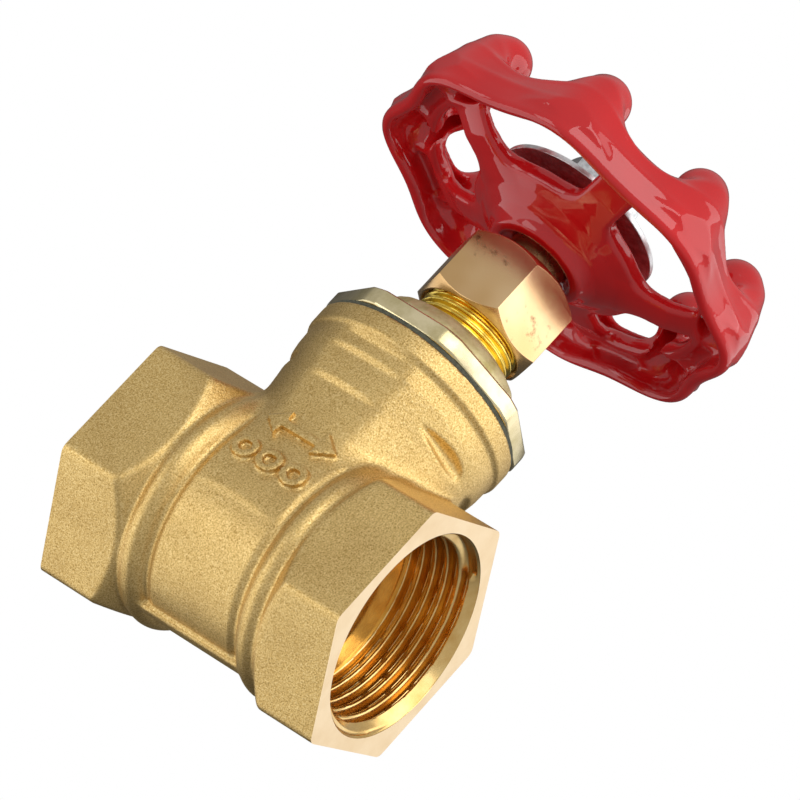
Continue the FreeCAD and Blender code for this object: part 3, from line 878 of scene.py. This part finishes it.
def make_world():
    """White studio: the backdrop shows white, and the room's walls shade from white to grey."""
    world = bpy.data.worlds.new("studio")
    bpy.context.scene.world = world
    world.use_nodes = True
    tree = world.node_tree
    tree.nodes.clear()
    output = tree.nodes.new("ShaderNodeOutputWorld")
    coordinate = tree.nodes.new("ShaderNodeTexCoord").outputs["Generated"]
    right, up, back = camera_axes()
    dim = (right * DIM_SIDE[0] + up * DIM_SIDE[1] + back * DIM_SIDE[2]).normalized()
    dot = tree.nodes.new("ShaderNodeVectorMath")
    dot.operation = "DOT_PRODUCT"
    dot.inputs[1].default_value = dim
    tree.links.new(coordinate, dot.inputs[0])
    room = colour_ramp(tree, scaled(tree, dot.outputs["Value"], 0, 1, start=-1),
                       [(0.0, (0.60, 0.60, 0.60)), (0.55, (0.48, 0.48, 0.48)), (0.80, (0.12, 0.12, 0.12)),
                        (1.0, (0.06, 0.06, 0.06))])
    walls = tree.nodes.new("ShaderNodeBackground")
    walls.inputs["Strength"].default_value = 1.0
    tree.links.new(room, walls.inputs["Color"])
    backdrop = tree.nodes.new("ShaderNodeBackground")
    backdrop.inputs["Color"].default_value = (1, 1, 1, 1)
    path = tree.nodes.new("ShaderNodeLightPath")
    mix = tree.nodes.new("ShaderNodeMixShader")
    tree.links.new(path.outputs["Is Camera Ray"], mix.inputs[0])
    tree.links.new(walls.outputs[0], mix.inputs[1])
    tree.links.new(backdrop.outputs[0], mix.inputs[2])
    tree.links.new(mix.outputs[0], output.inputs["Surface"])


def make_floor():
    """Pale floor under the valve. It is clear from below, because the camera looks up from under it."""
    material, tree, shader = new_material("floor", Roughness=0.9)
    tone = object_noise(tree, 3, 2)
    tree.links.new(colour_ramp(tree, tone, [(0.3, (0.86, 0.86, 0.86)), (0.7, (0.90, 0.90, 0.90))]),
                   shader.inputs["Base Color"])
    clear = tree.nodes.new("ShaderNodeBsdfTransparent")
    side = tree.nodes.new("ShaderNodeNewGeometry").outputs["Backfacing"]
    mix = tree.nodes.new("ShaderNodeMixShader")
    tree.links.new(side, mix.inputs[0])
    tree.links.new(shader.outputs[0], mix.inputs[1])
    tree.links.new(clear.outputs[0], mix.inputs[2])
    tree.links.new(mix.outputs[0], tree.nodes["Material Output"].inputs["Surface"])
    half, level = 700, float(body_low[2]) - 0.1
    floor = new_piece("floor", [(-half, -half, level), (half, -half, level), (half, half, level),
                                (-half, half, level)], [(0, 1, 2, 3)], material)
    floor.visible_shadow = floor.visible_glossy = floor.visible_diffuse = False


# Build ----------------------------------------------------------------------------------------
make_camera()
make_world()
make_floor()
softbox("left", (-0.98, -0.20, -0.05), 0.50, 0.55, 0.55, 1.05)
softbox("upper left", (-0.75, 0.38, 0.55), 0.55, 0.28, 0.28, 1.7)
softbox("right", (0.93, -0.05, 0.25), 0.50, 0.50, 0.50, 1.45)
softbox("low right", (0.75, -0.45, -0.50), 0.50, 0.42, 0.42, 0.75)
softbox("window", (0.465, 0.50, 0.73), 0.55, 0.38, 0.30, 2.4)

make_body()
make_bonnet()
make_packing_nut()
make_stem()
make_wheel()
fasteners = dict(zip(("plain_washer", "spring_washer", "wheel_nut"), make_fasteners()))
fasteners["name_plate"] = make_plate()
for node, piece in fasteners.items():
    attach(piece, "spindle")
    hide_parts(node)

kept = {"bonnet_gasket": FIBRE, "thrust_washer": PTFE, "packing_washer": THREAD, "packing_ring_1": PTFE,
        "packing_ring_2": PTFE, "packing_ring_3": PTFE, "gland_bush": THREAD, "gate_wedge": CAST}
for node, material in kept.items():
    data = frame["nodes"][node].data
    data.materials.clear()
    data.materials.append(material)

bpy.context.scene.view_settings.view_transform = "Standard"
